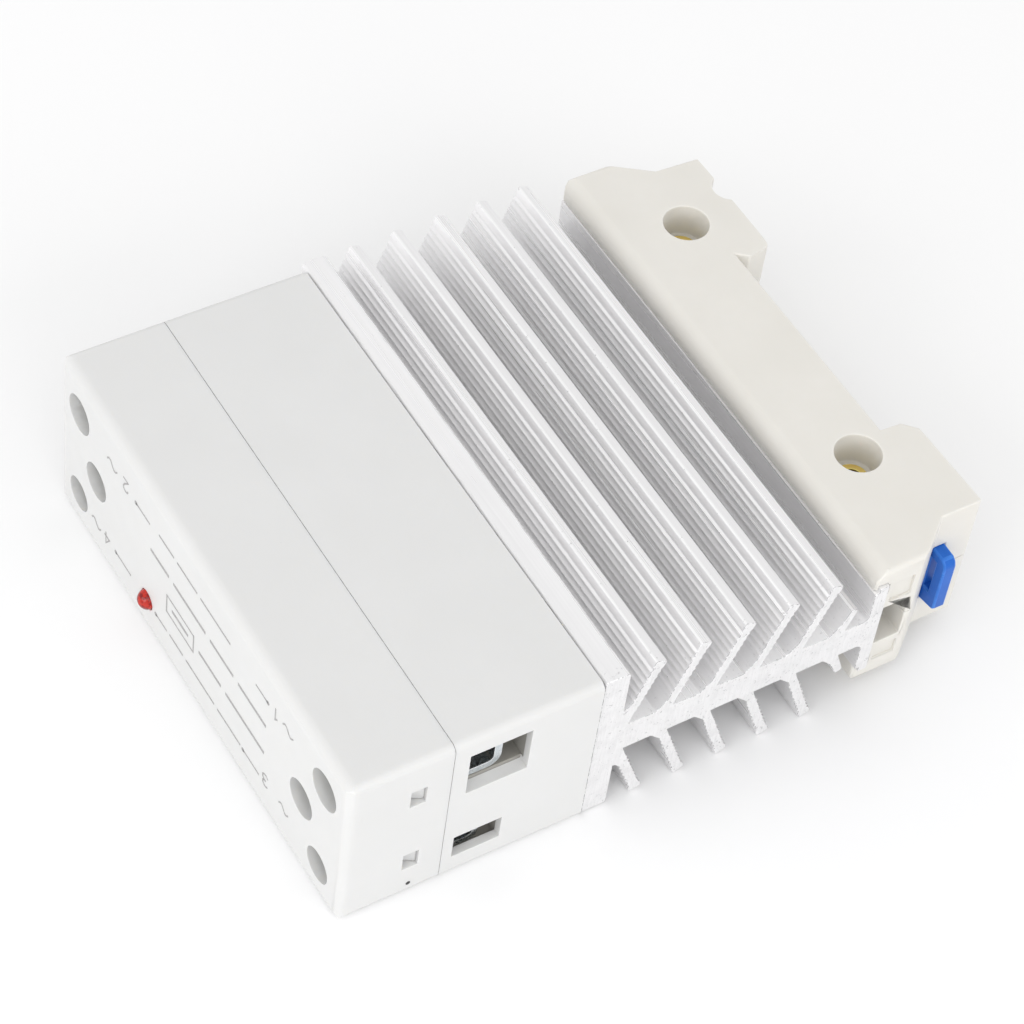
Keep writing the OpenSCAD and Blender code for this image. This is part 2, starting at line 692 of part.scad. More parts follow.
front_cover();
rear_housing();
module_base_plate();
thermal_pad();
heat_sink();
ceramic_substrate();
thyristor_dies();
gate_pins();
control_board();
triac_driver();
input_rectifier();
snubber_capacitor();
smoothing_capacitor();
varistor();
resistors();
indicator_led();
led_leads();
output_busbar(0);  // output_busbar_1
output_busbar(1);  // output_busbar_2
input_strip(2);  // input_strip_3
input_strip(3);  // input_strip_4
clamp_cage(0);  // clamp_cage_1
clamp_cage(1);  // clamp_cage_2
clamp_cage(2);  // clamp_cage_3
clamp_cage(3);  // clamp_cage_4
terminal_screw(0);  // terminal_screw_1
terminal_screw(1);  // terminal_screw_2
terminal_screw(2);  // terminal_screw_3
terminal_screw(3);  // terminal_screw_4
module_screws();
clip_upper_half();
clip_lower_half();
clip_rivets();
rail_latch();
latch_spring();
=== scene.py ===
import json
import math
import random

import bmesh
import bpy
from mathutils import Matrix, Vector


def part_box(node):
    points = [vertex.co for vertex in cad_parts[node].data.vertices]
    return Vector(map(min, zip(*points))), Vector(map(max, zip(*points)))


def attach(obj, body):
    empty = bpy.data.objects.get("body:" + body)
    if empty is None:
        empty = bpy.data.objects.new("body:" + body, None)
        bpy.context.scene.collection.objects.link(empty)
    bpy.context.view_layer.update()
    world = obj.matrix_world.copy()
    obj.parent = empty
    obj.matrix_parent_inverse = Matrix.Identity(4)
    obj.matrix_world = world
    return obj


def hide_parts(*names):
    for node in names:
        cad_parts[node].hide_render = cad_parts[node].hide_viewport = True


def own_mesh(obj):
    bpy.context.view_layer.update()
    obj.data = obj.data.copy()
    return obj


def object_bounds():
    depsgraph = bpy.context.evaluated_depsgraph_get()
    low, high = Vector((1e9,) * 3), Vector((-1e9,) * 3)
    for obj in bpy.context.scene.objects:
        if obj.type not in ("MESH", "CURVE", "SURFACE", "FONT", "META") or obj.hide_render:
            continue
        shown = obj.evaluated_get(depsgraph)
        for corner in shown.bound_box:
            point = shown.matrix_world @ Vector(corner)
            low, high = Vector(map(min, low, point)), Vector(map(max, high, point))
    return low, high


MM = 0.001

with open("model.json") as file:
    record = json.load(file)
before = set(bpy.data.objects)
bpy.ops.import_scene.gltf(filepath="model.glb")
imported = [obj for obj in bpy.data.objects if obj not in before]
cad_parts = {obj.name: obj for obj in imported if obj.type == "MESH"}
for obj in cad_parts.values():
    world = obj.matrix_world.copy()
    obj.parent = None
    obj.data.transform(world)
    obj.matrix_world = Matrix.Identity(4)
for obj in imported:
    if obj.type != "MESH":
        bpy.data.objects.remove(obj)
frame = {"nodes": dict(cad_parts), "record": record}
cad_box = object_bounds()
nodes = frame["nodes"]
slots = {s["node"]: s["material_slot"] for s in frame["record"]["subparts"]}


# ---------- where things are ----------

cover_low, cover_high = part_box("front_cover")
housing_low, housing_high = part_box("rear_housing")
sink_low, sink_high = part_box("heat_sink")
FRONT_X = cover_low.x
NEAR_Y = cover_low.y
MID_Z = (housing_low.z + housing_high.z) / 2


def at(x, y, z):
    """A point given in mm from the relay's front face, its near end and its middle plane."""
    return Vector((FRONT_X + x * MM, NEAR_Y + y * MM, MID_Z + z * MM))


# ---------- materials ----------

def new_material(name):
    """A new material, its node tree and its shader."""
    material = bpy.data.materials.new(name)
    material.use_nodes = True
    tree = material.node_tree
    shader = tree.nodes["Principled BSDF"]
    return material, tree, shader


def add(tree, kind, **values):
    """A node of that kind, with its inputs or settings given by name."""
    node = tree.nodes.new(kind)
    for key, value in values.items():
        if hasattr(node, key):
            setattr(node, key, value)
        else:
            node.inputs[key.replace("_", " ")].default_value = value
    return node


def link(tree, source, target):
    tree.links.new(source, target)


def coordinates(tree, stretch=(1, 1, 1)):
    """Places in the object's own space, so that the grain moves with a moving piece."""
    place = add(tree, "ShaderNodeTexCoord")
    scale = add(tree, "ShaderNodeVectorMath", operation="MULTIPLY")
    scale.inputs[1].default_value = stretch
    link(tree, place.outputs["Object"], scale.inputs[0])
    return scale.outputs[0]


def noise(tree, place, size, detail=3.0, roughness=0.55):
    """Noise whose features are about that many mm across."""
    made = add(tree, "ShaderNodeTexNoise", Scale=1 / (size * MM), Detail=detail, Roughness=roughness)
    link(tree, place, made.inputs["Vector"])
    return made.outputs["Fac"]


def ramp(tree, value, low, high, out_low=0.0, out_high=1.0):
    """A straight change from out_low to out_high while the value goes from low to high."""
    made = add(tree, "ShaderNodeMapRange", From_Min=low, From_Max=high, To_Min=out_low, To_Max=out_high)
    link(tree, value, made.inputs["Value"])
    return made.outputs["Result"]


def mix(tree, fac, a, b):
    """A colour between a and b. Each of the three is a socket or a value."""
    made = tree.nodes.new("ShaderNodeMix")
    made.data_type = "RGBA"
    for socket, value in ((made.inputs[0], fac), (made.inputs[6], a), (made.inputs[7], b)):
        if isinstance(value, bpy.types.NodeSocket):
            link(tree, value, socket)
        elif isinstance(value, (int, float)):
            socket.default_value = value
        else:
            socket.default_value = (*value, 1)
    return made.outputs[2]


def maths(tree, operation, a, b=None):
    """The result of a sum on one or two sockets or values."""
    made = add(tree, "ShaderNodeMath", operation=operation)
    for socket, value in zip(made.inputs, (a, b)):
        if isinstance(value, bpy.types.NodeSocket):
            link(tree, value, socket)
        elif value is not None:
            socket.default_value = value
    return made.outputs[0]


def part(tree, vector, axis):
    """One axis of a vector socket."""
    made = add(tree, "ShaderNodeSeparateXYZ")
    link(tree, vector, made.inputs[0])
    return made.outputs[axis]


def tinted(factor, colour):
    """The colour made darker or brighter by that factor."""
    return tuple(min(1, factor * c) for c in colour)


def bump(tree, shader, height, distance):
    """Relief of that many mm where the height socket goes from 0 to 1."""
    made = add(tree, "ShaderNodeBump", Strength=1.0, Distance=distance * MM)
    link(tree, height, made.inputs["Height"])
    link(tree, made.outputs["Normal"], shader.inputs["Normal"])


def specks(tree, place, cell, radius, share):
    """1 in small round specks, of that radius in mm, in a share of cells that many mm across."""
    made = add(tree, "ShaderNodeTexVoronoi", Scale=1 / (cell * MM), Randomness=1.0)
    link(tree, place, made.inputs["Vector"])
    near = ramp(tree, made.outputs["Distance"], radius / cell, 0.5 * radius / cell)
    channels = add(tree, "ShaderNodeSeparateColor")
    link(tree, made.outputs["Color"], channels.inputs[0])
    chosen = maths(tree, "LESS_THAN", channels.outputs[0], share)
    return maths(tree, "MULTIPLY", near, chosen)


def mask(tree, layer):
    """What a layer of the mesh's faces says: wear is 1 on rounded edges, inside is 1 within holes and wells,
    which get painted shade, crest and valley are up to 1 on the brighter side of a rib, with its painted
    highlight, and on the darker side, with its painted shade."""
    made = add(tree, "ShaderNodeAttribute", attribute_name=layer)
    return made.outputs["Fac"]


def plastic(name, colour, shade, rough=0.42, speck_share=0.12, worn=None, glow=0, gloss=0.5):
    """Moulded plastic: fine spark-eroded grain, slow changes of tone, a few dust specks, polished edges.
    It is darkened by painted shade with the depth behind the relay's front on faces that are inside."""
    material, tree, shader = new_material(name)
    place = coordinates(tree)
    slow = noise(tree, place, 14, 2)
    fine = noise(tree, place, 1.6, 4)
    tone = mix(tree, ramp(tree, slow, 0.35, 0.65), colour, shade)
    tone = mix(tree, ramp(tree, fine, 0.35, 0.75, 0, 0.35), tone, shade)
    if speck_share:
        dust = specks(tree, place, 5.5, 0.09, speck_share)
        tone = mix(tree, maths(tree, "MULTIPLY", dust, 0.45), tone, tinted(0.45, colour))
    edge = maths(tree, "MULTIPLY", mask(tree, "wear"), ramp(tree, fine, 0.3, 0.7, 0.2, 0.8))
    tone = mix(tree, edge, tone, worn or tinted(1.06, colour))
    # Painted shade: faces marked inside darken with their depth behind the front, towards a dark warm grey
    deep = ramp(tree, part(tree, place, "X"), FRONT_X + 0.8 * MM, FRONT_X + 5 * MM, 0, 0.85)
    tone = mix(tree, maths(tree, "MULTIPLY", mask(tree, "inside"), deep), tone,
               (0.36 * colour[0], 0.34 * colour[1], 0.30 * colour[2]))
    link(tree, tone, shader.inputs["Base Color"])
    patchy = ramp(tree, noise(tree, place, 3.5, 3), 0.3, 0.7, rough - 0.05, rough + 0.06)
    polish = maths(tree, "MULTIPLY", edge, 0.08)
    link(tree, maths(tree, "SUBTRACT", patchy, polish), shader.inputs["Roughness"])
    bump(tree, shader, noise(tree, place, 0.12, 2), 0.006)
    shader.inputs["IOR"].default_value = 1.5
    shader.inputs["Specular IOR Level"].default_value = gloss
    shader.inputs["Subsurface Weight"].default_value = glow
    shader.inputs["Subsurface Radius"].default_value = (1.0, 0.95, 0.85)
    shader.inputs["Subsurface Scale"].default_value = 1.2 * MM
    return material


def extruded(name, colour, shade, rough=0.3):
    """Mill-finish aluminium: die lines along Y, painted highlight and painted shade on the two sides of each
    rib, and pale sawn faces with burrs at its ends.
    """
    material, tree, shader = new_material(name)
    place = coordinates(tree)
    bright = tinted(1.06, colour)
    lined = coordinates(tree, (1, 0.012, 1))
    lines = noise(tree, lined, 0.45, 5, 0.6)
    broad = noise(tree, lined, 2.5, 2)
    patches = noise(tree, place, 9, 3)
    tone = mix(tree, ramp(tree, lines, 0.3, 0.7), colour, shade)
    tone = mix(tree, ramp(tree, patches, 0.35, 0.7, 0, 0.5), tone, shade)

    # Ribs: painted highlight on the side towards the fin's tip, painted shade on the other
    tone = mix(tree, maths(tree, "MULTIPLY", mask(tree, "crest"), 0.8), tone, bright)
    tone = mix(tree, maths(tree, "MULTIPLY", mask(tree, "valley"), 0.7), tone, tinted(0.68, colour))

    # Sawn end faces, which face along the extrusion: saw marks, dull patches, small pits
    geometry = add(tree, "ShaderNodeNewGeometry")
    turned = maths(tree, "ABSOLUTE", part(tree, geometry.outputs["True Normal"], "Y"))
    end = ramp(tree, turned, 0.7, 0.9)
    saw = noise(tree, coordinates(tree, (1, 1, 0.08)), 0.3, 4, 0.7)
    pits = noise(tree, place, 0.35, 5, 0.7)
    dull = noise(tree, place, 1.8, 3)
    cut = mix(tree, ramp(tree, saw, 0.35, 0.7), tinted(0.93, colour), tinted(0.84, colour))
    cut = mix(tree, ramp(tree, dull, 0.45, 0.7, 0, 0.5), cut, tinted(0.78, colour))
    cut = mix(tree, ramp(tree, pits, 0.62, 0.70, 0, 0.8), cut, tinted(0.40, colour))
    tone = mix(tree, end, tone, cut)

    # Edges: rubbed bright along the profile, with dark burrs around the sawn faces
    nicks = noise(tree, place, 0.5, 5, 0.7)
    edge = mask(tree, "wear")
    around_cut = ramp(tree, turned, 0.2, 0.5)
    burrs = mix(tree, around_cut, ramp(tree, nicks, 0.62, 0.68), ramp(tree, nicks, 0.44, 0.52))
    tone = mix(tree, maths(tree, "MULTIPLY", edge, 0.5), tone, bright)
    dark_edge = maths(tree, "MULTIPLY", edge, maths(tree, "MULTIPLY", burrs, 0.8))
    tone = mix(tree, dark_edge, tone, tinted(0.34, colour))

    # Scuffs and specks on the last 3 mm before the ends, which are 40 mm from the origin
    near_cut = ramp(tree, maths(tree, "ABSOLUTE", part(tree, place, "Y")), 37 * MM, 40 * MM)
    scuffed = ramp(tree, noise(tree, place, 0.7, 5, 0.75), 0.60, 0.66, 0, 0.6)
    tone = mix(tree, maths(tree, "MULTIPLY", near_cut, scuffed), tone, tinted(0.42, colour))
    link(tree, tone, shader.inputs["Base Color"])
    shader.inputs["Metallic"].default_value = 0.45
    smooth = ramp(tree, broad, 0.3, 0.7, rough - 0.07, rough + 0.09)
    matt = ramp(tree, saw, 0.3, 0.7, rough + 0.12, rough + 0.28)
    level = add(tree, "ShaderNodeMix")
    link(tree, end, level.inputs[0])
    link(tree, smooth, level.inputs[2])
    link(tree, matt, level.inputs[3])
    link(tree, level.outputs[0], shader.inputs["Roughness"])
    height = add(tree, "ShaderNodeMix")
    link(tree, end, height.inputs[0])
    link(tree, lines, height.inputs[2])
    link(tree, maths(tree, "ADD", saw, pits), height.inputs[3])
    bump(tree, shader, height.outputs[0], 0.012)
    return material


def metal(name, colour, shade, rough, stretch=(1, 1, 1)):
    """Plain or plated metal with slight stains and fine scratches."""
    material, tree, shader = new_material(name)
    place = coordinates(tree, stretch)
    stains = noise(tree, place, 2.2, 4)
    fine = noise(tree, place, 0.5, 4, 0.65)
    tone = mix(tree, ramp(tree, stains, 0.35, 0.7), colour, shade)
    tone = mix(tree, ramp(tree, fine, 0.55, 0.75, 0, 0.4), tone, tinted(0.6, colour))
    edge = maths(tree, "MULTIPLY", mask(tree, "wear"), 0.5)
    tone = mix(tree, edge, tone, tinted(1.25, colour))
    link(tree, tone, shader.inputs["Base Color"])
    shader.inputs["Metallic"].default_value = 1.0
    link(tree, ramp(tree, fine, 0.3, 0.75, rough - 0.06, rough + 0.12), shader.inputs["Roughness"])
    bump(tree, shader, fine, 0.004)
    return material


def lens(name, colour, shade):
    """Clear tinted epoxy with a slightly wavy skin, and blotches of bright and dark red painted in as the
    dome's highlights and shade.
    """
    material, tree, shader = new_material(name)
    place = coordinates(tree)
    # Painted highlights and shade: sharp blotches of bright orange-red and dark red
    painted_glints_and_shade = noise(tree, place, 0.8, 3)
    tone = mix(tree, ramp(tree, painted_glints_and_shade, 0.46, 0.56), colour, shade)
    link(tree, tone, shader.inputs["Base Color"])
    link(tree, ramp(tree, noise(tree, place, 0.4, 3), 0.3, 0.7, 0.03, 0.10), shader.inputs["Roughness"])
    bump(tree, shader, noise(tree, place, 0.7, 2), 0.03)
    shader.inputs["Transmission Weight"].default_value = 0.5
    shader.inputs["IOR"].default_value = 1.52
    return material


def ink(name, colour):
    """Pad-printed ink, thinner in places so that the plastic shows through."""
    material, tree, shader = new_material(name)
    place = coordinates(tree)
    thin = noise(tree, place, 0.35, 4, 0.7)
    tone = mix(tree, ramp(tree, thin, 0.5, 0.75, 0, 0.7), colour, tinted(1.9, colour))
    link(tree, tone, shader.inputs["Base Color"])
    link(tree, ramp(tree, thin, 0.3, 0.7, 0.45, 0.65), shader.inputs["Roughness"])
    bump(tree, shader, thin, 0.003)
    return material


MATERIALS = {
    "white_plastic": plastic("relay_white", (0.725, 0.725, 0.72), (0.712, 0.712, 0.706), glow=0.3),
    "ivory_plastic": plastic("clip_ivory", (0.765, 0.745, 0.70), (0.74, 0.72, 0.672),
                             speck_share=0.05, glow=0.2),
    "blue_plastic": plastic("latch_blue", (0.012, 0.130, 0.560), (0.008, 0.100, 0.470), rough=0.36,
                            speck_share=0, worn=(0.06, 0.24, 0.74), gloss=0.3),
    "extruded_aluminium": extruded("mill_aluminium", (0.94, 0.935, 0.94), (0.87, 0.865, 0.87)),
    "base_aluminium": metal("base_aluminium", (0.60, 0.61, 0.63), (0.48, 0.49, 0.51), rough=0.4,
                            stretch=(1, 0.05, 1)),
    "plated_steel": metal("zinc_plate", (0.80, 0.83, 0.85), (0.62, 0.67, 0.70), rough=0.24),
    "spring_steel": metal("spring_wire", (0.50, 0.50, 0.52), (0.38, 0.38, 0.40), rough=0.3),
    "brass": metal("brass", (1.0, 0.79, 0.28), (0.90, 0.66, 0.20), rough=0.20),
    "tinned_copper": metal("tinned_copper", (0.72, 0.66, 0.58), (0.60, 0.52, 0.44), rough=0.3),
    "led_red": lens("led_red", (0.95, 0.035, 0.012), (0.42, 0.004, 0.002)),
    "thermal_grey": plastic("thermal_pad", (0.10, 0.10, 0.105), (0.07, 0.07, 0.075),
                            rough=0.8, speck_share=0),
    "ceramic_white": plastic("alumina", (0.78, 0.76, 0.72), (0.70, 0.68, 0.64), rough=0.6, speck_share=0),
    "silicon_grey": plastic("silicon", (0.06, 0.07, 0.08), (0.04, 0.045, 0.05), rough=0.25, speck_share=0),
    "board_green": plastic("solder_resist", (0.01, 0.09, 0.03), (0.008, 0.06, 0.02),
                           rough=0.3, speck_share=0.4),
    "package_black": plastic("epoxy_black", (0.012, 0.012, 0.013), (0.008, 0.008, 0.009),
                             rough=0.5, speck_share=0),
    "capacitor_yellow": plastic("film_yellow", (0.62, 0.36, 0.03), (0.52, 0.30, 0.02),
                                rough=0.35, speck_share=0),
    "capacitor_sleeve": plastic("sleeve_navy", (0.01, 0.015, 0.06), (0.008, 0.01, 0.04),
                                rough=0.25, speck_share=0),
    "varistor_blue": plastic("varistor_blue", (0.02, 0.10, 0.26), (0.015, 0.07, 0.20),
                             rough=0.5, speck_share=0),
    "resistor_tan": plastic("resistor_tan", (0.46, 0.30, 0.15), (0.38, 0.24, 0.12),
                            rough=0.45, speck_share=0),
}


def paint(piece, slot):
    piece.data.materials.clear()
    piece.data.materials.append(MATERIALS[slot])


# ---------- pieces with rounded edges ----------

SHARP_ANGLE = 35
SHADE_SPLIT_ANGLE = 32


def body_of(node):
    """The moving body that the record puts a CAD node on."""
    for body, members in frame["record"]["behaviour"]["bodies"].items():
        if node in members:
            return body
    raise KeyError(node)


def roomy(edge, room):
    """Whether the edges that meet this one across its two faces are all longer than that many mm."""
    along = (edge.verts[1].co - edge.verts[0].co).normalized()
    for corner in edge.verts:
        for other in corner.link_edges:
            if other is edge or not set(other.link_faces) & set(edge.link_faces):
                continue
            way = (other.verts[1].co - other.verts[0].co).normalized()
            if abs(way.dot(along)) < 0.7 and other.calc_length() < room * MM:
                return False
    return True


def soften(shape, width, segments=2, keep=None):
    """Rounds the sharp edges by that many mm, where there is room, and marks the new faces as worn."""
    worn = shape.faces.layers.float.get("wear") or shape.faces.layers.float.new("wear")
    sharp = math.radians(SHARP_ANGLE)
    edges = [e for e in shape.edges if len(e.link_faces) == 2 and e.calc_face_angle(0) > sharp]
    edges = [e for e in edges if roomy(e, 2.3 * width) and (keep is None or keep(e))]
    result = bmesh.ops.bevel(shape, geom=edges, offset=width * MM, offset_type="OFFSET", segments=segments,
                             profile=0.5, affect="EDGES", clamp_overlap=False)
    for face in result["faces"]:
        face[worn] = 1.0


def finished(name, shape):
    """Makes the piece that stands for a CAD node from its finished shape."""
    for face in shape.faces:
        face.smooth = True
    mesh = bpy.data.meshes.new(name + "_soft")
    shape.to_mesh(mesh)
    shape.free()
    mesh.set_sharp_from_angle(angle=math.radians(SHADE_SPLIT_ANGLE))
    piece = bpy.data.objects.new(name + "_piece", mesh)
    piece.matrix_world = nodes[name].matrix_world.copy()
    bpy.context.scene.collection.objects.link(piece)
    flat = piece.modifiers.new("flat_faces", "WEIGHTED_NORMAL")
    flat.keep_sharp = True
    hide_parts(name)
    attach(piece, body_of(name))
    paint(piece, slots[name])


def shape_of(name):
    """The CAD node's shape as whole faces, without its triangles' seams."""
    shape = bmesh.new()
    shape.from_mesh(nodes[name].data)
    bmesh.ops.remove_doubles(shape, verts=shape.verts, dist=2e-6)
    bmesh.ops.dissolve_limit(shape, angle_limit=math.radians(0.5), verts=shape.verts, edges=shape.edges)
    return shape


def rounded(name, width, segments=2, keep=None):
    """Makes the piece for a CAD node with its edges rounded by that many mm."""
    shape = shape_of(name)
    soften(shape, width, segments, keep)
    finished(name, shape)


def beside_slot(edge):
    """False for the edges that line the slot in which the latch's nose slides."""
    low, high = at(93, 12, -5), at(97.6, 21.5, 5)
    return not all(low[k] < corner.co[k] < high[k] for corner in edge.verts for k in range(3))


def outer_corner(edge):
    """True for edges that stick out, so that nothing is added in the latch's window."""
    return edge.is_convex


def near_skin(name, depth):
    """A test for edges within that many mm of the outside of a node's box."""
    low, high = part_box(name)

    def deep(point):
        return all(min(point[k] - low[k], high[k] - point[k]) > depth * MM for k in range(3))

    return lambda edge: not any(deep(corner.co) for corner in edge.verts)


for name, node in nodes.items():
    paint(node, slots[name])


# ---------- relay shells, with painted shade inside their holes and wells ---

INSIDE_DEPTH = 1.15


def shell(name, width, low, high):
    """A hollow moulding with edges rounded by that many mm. Its faces whose middles lie INSIDE_DEPTH mm
    or more behind its ends, and clear of its sides and rims, are marked as inside and get painted shade."""
    shape = shape_of(name)
    soften(shape, width, keep=near_skin(name, 0.5))
    inside = shape.faces.layers.float.new("inside")
    for face in shape.faces:
        middle = face.calc_center_median()
        from_end = min(middle.y - low.y, high.y - middle.y)
        from_side = min(middle.z - low.z, high.z - middle.z)
        from_rim = min(middle.x - low.x, high.x - middle.x)
        if from_end > INSIDE_DEPTH * MM and from_side > 1 * MM and from_rim > 0.3 * MM:
            face[inside] = 1.0
    finished(name, shape)


shell("front_cover", 0.07, cover_low, cover_high)
shell("rear_housing", 0.06, housing_low, housing_high)
rounded("clip_upper_half", 0.22, keep=beside_slot)
rounded("clip_lower_half", 0.22, keep=beside_slot)
rounded("rail_latch", 0.30, segments=3, keep=outer_corner)
rounded("clip_rivets", 0.12)
rounded("module_base_plate", 0.08, segments=1)
for number in (1, 2, 3, 4):
    rounded(f"clamp_cage_{number}", 0.12)
    rounded(f"terminal_screw_{number}", 0.10)
rounded("module_screws", 0.10)


# ---------- heat sink: soft profile edges, sawn ends, nicks along the plate, rib sides marked for painted highlight and shade ---

FIN_LEAN = math.sin(math.radians(21))  # the Z part of a plain fin's normal: the fins lean by 21 degrees
RIB_STEP = 0.2  # the Z part of a crest's or a valley's normal is further than this from a plain fin's


def lengthwise(edge):
    way = edge.verts[1].co - edge.verts[0].co
    return abs(way.y) > 0.9 * way.length


def runs_along(edge):
    """True for edges of the profile that have room."""
    return lengthwise(edge) and roomy(edge, 0.6)


def around_end(edge):
    """True for the outlines of the two sawn faces."""
    return all(min(v.co.y - sink_low.y, sink_high.y - v.co.y) < 0.01 * MM for v in edge.verts)


def nick(shape, line, count, depth, seed):
    """Cuts the chosen edges count times and pushes some of the new corners in by up to depth mm."""
    picks = random.Random(seed)
    made = bmesh.ops.subdivide_edges(shape, edges=[e for e in shape.edges if line(e)], cuts=count)
    corners = [v for v in made["geom_inner"] if isinstance(v, bmesh.types.BMVert)]
    for corner in sorted(corners, key=lambda v: tuple(round(c, 6) for c in v.co)):
        if picks.random() < 0.16:
            inward = -sum((f.normal for f in corner.link_faces), Vector())
            inward.y = 0  # the sawn ends stay flat
            corner.co += inward.normalized() * picks.uniform(0.3, 1.0) * depth * MM


def plate_edge(edge):
    """True for the long edges at the top of the plate that carries the relay."""
    return (lengthwise(edge) and edge.calc_length() > 40 * MM
            and all(v.co.x - sink_low.x < 4.2 * MM and v.co.z - MID_Z > 13.2 * MM for v in edge.verts))


sink = shape_of("heat_sink")
soften(sink, 0.12, 2, runs_along)
soften(sink, 0.07, 1, around_end)
nick(sink, plate_edge, 60, 0.09, 5)
# Rib sides facing the fin's tip are marked crest, for a painted highlight; the other sides valley, for
# painted shade; sides lying along the fin get a little painted shade
crest = sink.faces.layers.float.new("crest")
valley = sink.faces.layers.float.new("valley")
for face in sink.faces:
    lengths = sorted(e.calc_length() for e in face.edges)
    rib = len(face.verts) == 4 and 0.33 * MM < lengths[0] < 0.42 * MM and lengths[-1] > 60 * MM
    if rib and abs(face.normal.y) < 0.1:
        # A flank that faces the fin's tip points further from the middle plane than the flat fin does
        outward = face.normal.z * (1 if face.calc_center_median().z > MID_Z else -1)
        steep = outward - (FIN_LEAN if face.normal.x < 0 else -FIN_LEAN)
        if abs(steep) > RIB_STEP:
            face[crest if steep > 0 else valley] = 1.0
        else:
            face[valley] = 0.3
finished("heat_sink", sink)


# ---------- latch spring ----------

spring = bpy.data.objects.new("latch_spring_piece", nodes["latch_spring"].data.copy())
spring.matrix_world = nodes["latch_spring"].matrix_world.copy()
bpy.context.scene.collection.objects.link(spring)
for face in spring.data.polygons:
    face.use_smooth = True
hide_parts("latch_spring")
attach(spring, "body")
paint(spring, slots["latch_spring"])
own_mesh(spring)


# ---------- printed marks: terminal numbers, wave signs, connection lines, plain bars for words; a dot of painted shade for a small hole ---

INK_HEIGHT = 0.03
INK_WIDTH = 0.26
DOT_RADIUS = 0.36

# Strokes of each sign in a square of side 1
SIGNS = {
    "1": [[(0.12, 0.75), (0.36, 1.0), (0.36, 0.0)]],
    "2": [[(0.0, 0.76), (0.1, 0.94), (0.3, 1.0), (0.52, 0.92), (0.58, 0.72), (0.45, 0.46), (0.0, 0.0),
           (0.6, 0.0)]],
    "3": [[(0.0, 0.86), (0.15, 0.98), (0.35, 1.0), (0.54, 0.88), (0.54, 0.66), (0.38, 0.54), (0.22, 0.53)],
          [(0.38, 0.54), (0.58, 0.4), (0.6, 0.18), (0.42, 0.02), (0.2, 0.0), (0.0, 0.13)]],
    "4": [[(0.46, 0.0), (0.46, 1.0), (0.0, 0.32), (0.64, 0.32)]],
    "~": [[(k / 12, 0.5 + 0.2 * math.sin(math.tau * k / 12)) for k in range(13)]],
}


class Print:
    """Flat ink on one face: origin is a point of it, right and top its directions, out its normal."""

    def __init__(self, origin, right, top, out):
        self.shape = bmesh.new()
        self.origin, self.right, self.top, self.out = origin, Vector(right), Vector(top), Vector(out)

    def place(self, u, v, lift):
        """The point u to the right, v to the top and lift above the face, in mm."""
        return self.origin + (self.right * u + self.top * v + self.out * lift) * MM

    def slab(self, outline):
        """A thin plate of ink with that outline of (u, v) points in mm."""
        low = [self.shape.verts.new(self.place(u, v, -0.01)) for u, v in outline]
        high = [self.shape.verts.new(self.place(u, v, INK_HEIGHT)) for u, v in outline]
        self.shape.faces.new(high)
        self.shape.faces.new(low[::-1])
        for k in range(len(outline)):
            self.shape.faces.new((low[k - 1], low[k], high[k], high[k - 1]))

    def stroke(self, points):
        """A line through the points, drawn as one outline with mitred corners."""
        points = [Vector(p) for p in points]
        sides = ([], [])
        for k, point in enumerate(points):
            before = (point - points[k - 1]).normalized() if k else (points[1] - point).normalized()
            after = (points[k + 1] - point).normalized() if k + 1 < len(points) else before
            along = (before + after).normalized()
            across = Vector((-along.y, along.x)) * INK_WIDTH / 2 / max(0.5, along.dot(before))
            sides[0].append(point + across)
            sides[1].append(point - across)
        self.slab([tuple(p) for p in sides[0] + sides[1][::-1]][::-1])

    def dot(self, u, v, radius=DOT_RADIUS):
        turns = [math.tau * k / 20 for k in range(20)]
        self.slab([(u + radius * math.cos(t), v + radius * math.sin(t)) for t in turns])

    def lead(self, dot_u, end_u, v):
        """A connection line with a dot at one end."""
        self.dot(dot_u, v)
        self.stroke([(min(dot_u, end_u), v), (max(dot_u, end_u), v)])

    def sign(self, sign, u, v, height):
        """A digit or a wave whose lower left corner is at (u, v)."""
        for line in SIGNS[sign]:
            self.stroke([(u + a * height, v + b * height) for a, b in line])

    def bars(self, u, v, lengths, height, gap=0.9):
        """A row of plain bars, in place of words."""
        for length in lengths:
            self.slab([(u, v), (u + length, v), (u + length, v + height), (u, v + height)])
            u += length + gap

    def finish(self, name, material):
        """Makes the piece, which rides on the body."""
        mesh = bpy.data.meshes.new(name)
        bmesh.ops.recalc_face_normals(self.shape, faces=self.shape.faces)
        self.shape.to_mesh(mesh)
        self.shape.free()
        piece = bpy.data.objects.new(name, mesh)
        bpy.context.scene.collection.objects.link(piece)
        piece.data.materials.append(material)
        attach(piece, "body")


# The signs stand upside down when the relay rests on its side, so v is the distance below the middle plane
front = Print(at(0, 0.35, 0), (0, 1, 0), (0, 0, -1), (-1, 0, 0))
front.sign("~", 13.3, -9.9, 2.7)
front.sign("1", 17.1, -9.4, 2.3)
front.lead(19.9, 23.1, -8.2)
front.lead(56.4, 52.4, -7.7)
front.sign("2", 58.7, -9.1, 2.3)
front.sign("~", 61.9, -9.4, 2.9)
front.sign("~", 13.0, 6.5, 2.5)
front.sign("3", 18.5, 6.5, 2.3)
front.lead(25.2, 20.8, 8.45)
front.lead(50.0, 46.8, 8.5)
front.lead(61.85, 57.35, 8.6)
front.sign("4", 63.8, 7.6, 2.3)
front.sign("~", 66.4, 7.5, 2.7)
front.bars(30.0, -8.5, (8.2, 5.6, 4.2), 0.32)
front.bars(20.0, -3.3, (7.5, 6.4, 9.0, 5.2), 0.5, gap=1.3)
front.bars(20.0, 2.4, (10.5, 6.2), 0.5, gap=1.3)
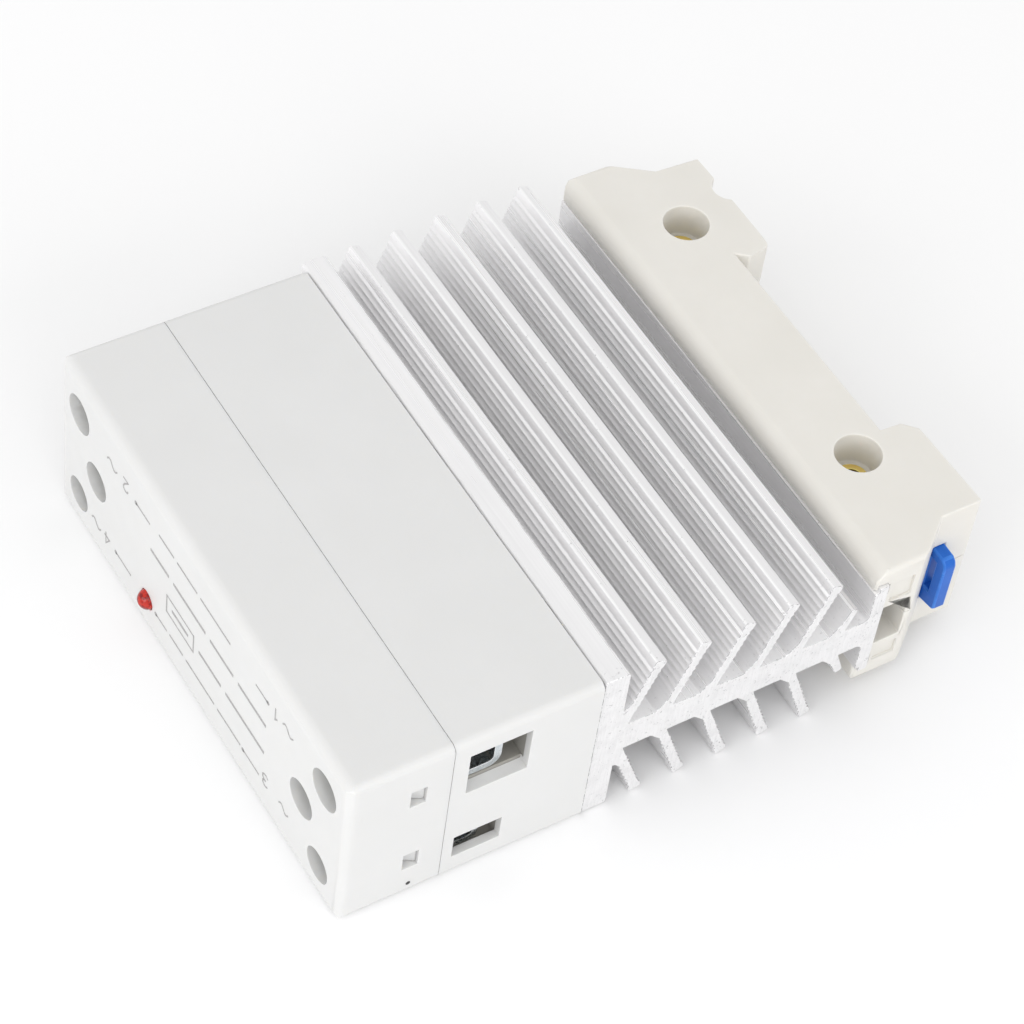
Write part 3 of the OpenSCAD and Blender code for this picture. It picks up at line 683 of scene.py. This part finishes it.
front.stroke([(39.5, 1.1), (47.1, 1.1), (47.1, 4.45), (39.5, 4.45), (39.5, 1.1 - INK_WIDTH / 2)])
front.bars(41.0, 2.55, (4.6,), 0.5)
front.bars(26.0, 8.2, (6.4, 8.0, 3.8), 0.32)
front.finish("front_marks", ink("ink_grey", (0.36, 0.35, 0.35)))

# A black disc on the near end is painted shade standing for a small hole there
near_end = Print(at(0, 0, 0), (1, 0, 0), (0, 0, 1), (0, -1, 0))
near_end.dot(10.4, -12.1, 0.33)
near_end.finish("end_hole_shade", ink("hole_shade_black", (0.03, 0.03, 0.03)))


# ---------- floor, lights, camera ----------

FLOOR_HALF_SIDE = 4.0


def floor():
    """A sheet of pale paper under the object."""
    shape = bmesh.new()
    bmesh.ops.create_grid(shape, x_segments=8, y_segments=8, size=FLOOR_HALF_SIDE)
    mesh = bpy.data.meshes.new("floor")
    shape.to_mesh(mesh)
    shape.free()
    made = bpy.data.objects.new("floor", mesh)
    made.location.z = cad_box[0].z
    bpy.context.scene.collection.objects.link(made)
    material, tree, shader = new_material("paper")
    place = coordinates(tree)
    clouds = ramp(tree, noise(tree, place, 400, 2), 0.3, 0.7)
    tone = mix(tree, clouds, (0.95, 0.95, 0.95), (0.93, 0.93, 0.935))
    link(tree, tone, shader.inputs["Base Color"])
    shader.inputs["Roughness"].default_value = 0.9
    shader.inputs["Specular IOR Level"].default_value = 0.1
    made.data.materials.append(material)


def softbox(name, place, aim, size, power):
    """An area light at that place, in metres, turned to its aim."""
    data = bpy.data.lights.new(name, "AREA")
    data.shape = "RECTANGLE"
    data.size, data.size_y = size
    data.energy = power
    made = bpy.data.objects.new(name, data)
    made.location = place
    made.rotation_euler = (Vector(aim) - Vector(place)).to_track_quat("-Z", "Y").to_euler()
    bpy.context.scene.collection.objects.link(made)


floor()
softbox("over_camera", (-0.45, -0.45, 0.80), (0, 0, 0), (0.6, 0.6), 1.1)
softbox("from_front", (-0.90, -0.15, 0.45), (0, 0, 0.01), (0.9, 0.6), 2.8)
softbox("from_near_end", (0.05, -0.95, 0.50), (0, 0, 0.01), (0.9, 0.5), 2.5)

world = bpy.data.worlds.new("studio")
world.use_nodes = True
world.node_tree.nodes["Background"].inputs["Color"].default_value = (1.0, 1.0, 1.0, 1)
world.node_tree.nodes["Background"].inputs["Strength"].default_value = 0.82
bpy.context.scene.world = world
bpy.context.scene.view_settings.view_transform = "Standard"

camera_data = bpy.data.cameras.new("camera")
camera_data.sensor_width = 36
camera_data.lens = 120.77
camera_data.clip_start = 0.01
camera = bpy.data.objects.new("camera", camera_data)
camera.location = (-0.18273, -0.23853, 0.36861)
camera.rotation_euler = [math.radians(turn) for turn in (39.7578, -5.6655, -30.6291)]
bpy.context.scene.collection.objects.link(camera)
bpy.context.scene.camera = camera
